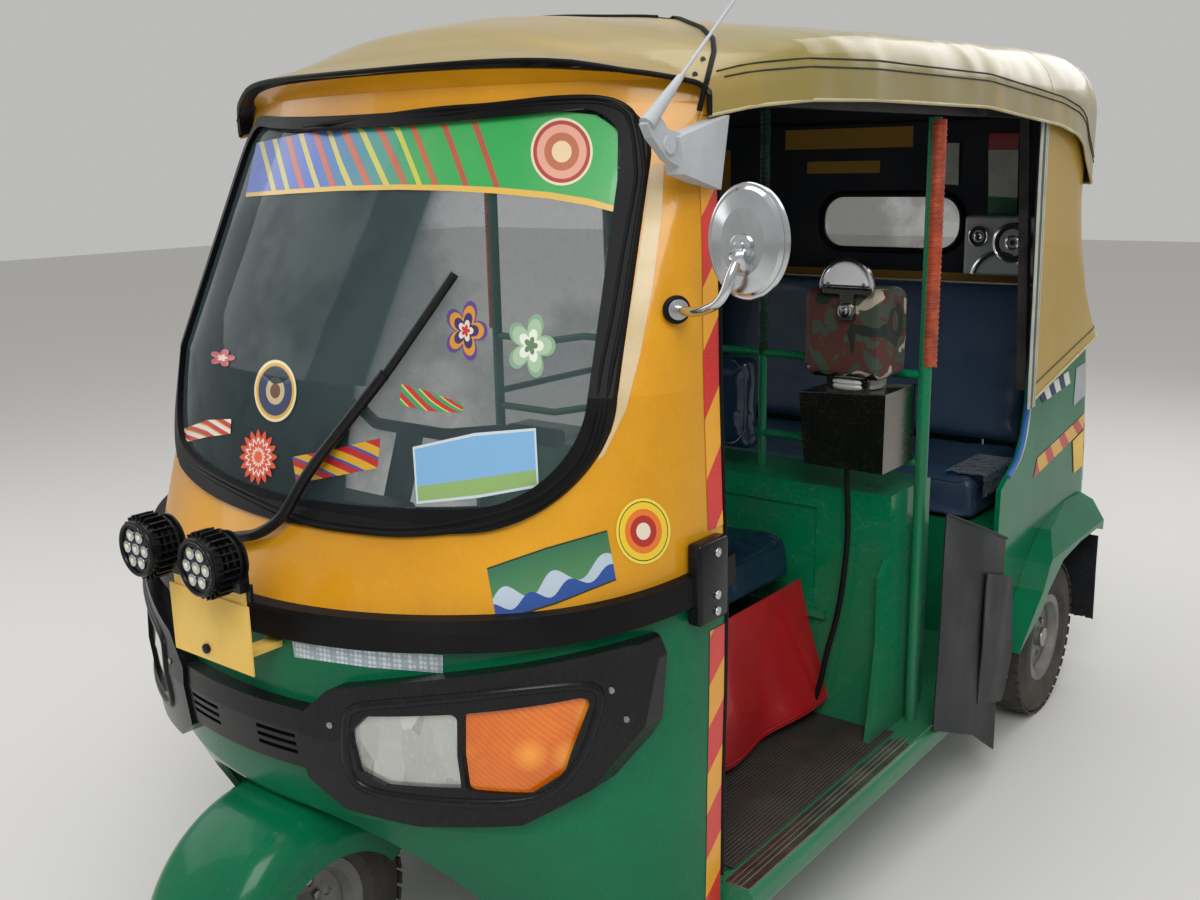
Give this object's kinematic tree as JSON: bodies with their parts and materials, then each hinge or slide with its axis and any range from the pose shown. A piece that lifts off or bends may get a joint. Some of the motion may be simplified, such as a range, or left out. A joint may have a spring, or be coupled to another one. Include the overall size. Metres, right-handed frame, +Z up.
{
  "type": "auto rickshaw",
  "caption": "Three-wheeled passenger auto rickshaw with a hood on bows, a bowed windscreen, steered front wheel and a rear engine hatch.",
  "frame": {"origin": "under the middle of the whole outline, mirror included, on the floor that the wheels stand on", "axes": "+Z up, the front faces -Y, +X is the vehicle's left side"},
  "size_m": [1.427, 2.6449, 1.9277],
  "materials": {
    "black_paint": "satin",
    "green_paint": "gloss",
    "yellow_paint": "gloss",
    "chrome": "polished",
    "black_rubber": "satin",
    "glass": "polished",
    "black_plastic": "satin",
    "clear_lens": "polished",
    "amber_lens": "polished",
    "red_lens": "polished",
    "red_vinyl": "satin",
    "blue_vinyl": "satin",
    "canopy_vinyl": "satin",
    "clear_sheet": "polished",
    "grey_plastic": "satin",
    "steel": "brushed",
    "cast_metal": "matte",
    "tyre": "matte",
    "rim_steel": "satin"
  },
  "bodies": {
    "body": {"chassis_frame": "black_paint", "floor_pan": "green_paint", "sill_plates": "chrome", "cowl_lower": "green_paint", "cowl_upper": "yellow_paint", "windscreen_gasket": "black_rubber", "windscreen": "glass", "belt_moulding": "black_rubber", "lamp_surrounds": "black_plastic", "headlamp_lenses": "clear_lens", "front_indicators": "amber_lens", "bumper_centre": "black_plastic", "front_plate": "yellow_paint", "spot_lamps": "black_plastic", "wiper": "black_plastic", "wheel_housing": "green_paint", "dashboard": "black_plastic", "partition": "green_paint", "partition_rails": "green_paint", "driver_seat_base": "red_vinyl", "driver_cushion": "blue_vinyl", "driver_backrest": "blue_vinyl", "passenger_cushion": "blue_vinyl", "passenger_backrest": "blue_vinyl", "rear_tub": "green_paint", "rear_bumper": "black_plastic", "tail_lamps": "red_lens", "rear_mud_flaps": "black_rubber", "entrance_flaps": "black_rubber", "canopy": "canopy_vinyl", "hood_back": "canopy_vinyl", "rear_window": "clear_sheet", "hood_frame": "black_paint", "mirror": "chrome", "antenna": "grey_plastic", "fare_meter": "steel", "meter_cable": "black_rubber", "speaker": "grey_plastic", "rear_suspension": "black_paint", "engine": "cast_metal", "exhaust": "steel"},
    "steering": {"front_fork": "black_paint", "front_mudguard": "green_paint"},
    "front_wheel": {"front_tyre": "tyre", "front_rim": "rim_steel"},
    "rear_wheel_left": {"left_tyre": "tyre", "left_rim": "rim_steel"},
    "rear_wheel_right": {"right_tyre": "tyre", "right_rim": "rim_steel"},
    "hatch": {"engine_hatch": "green_paint"}
  },
  "joints": [
    {"name": "steering_turn", "type": "hinge", "parent": "body", "child": "steering", "pos_m": [-0.0485, -1.0355, 0.2075], "axis": [0, 0.342, 0.9397], "range_deg": [-45, 45]},
    {"name": "front_wheel_spin", "type": "hinge", "parent": "steering", "child": "front_wheel", "pos_m": [-0.0485, -1.0775, 0.2075], "axis": [1, 0, 0], "continuous": true},
    {"name": "rear_wheel_left_spin", "type": "hinge", "parent": "body", "child": "rear_wheel_left", "pos_m": [0.5265, 0.9075, 0.2075], "axis": [1, 0, 0], "continuous": true},
    {"name": "rear_wheel_right_spin", "type": "hinge", "parent": "body", "child": "rear_wheel_right", "pos_m": [-0.6235, 0.9075, 0.2075], "axis": [1, 0, 0], "continuous": true},
    {"name": "hatch_lift", "type": "hinge", "parent": "body", "child": "hatch", "pos_m": [-0.0485, 1.272, 0.752], "axis": [1, 0, 0], "range_deg": [0, 75]}
  ]
}
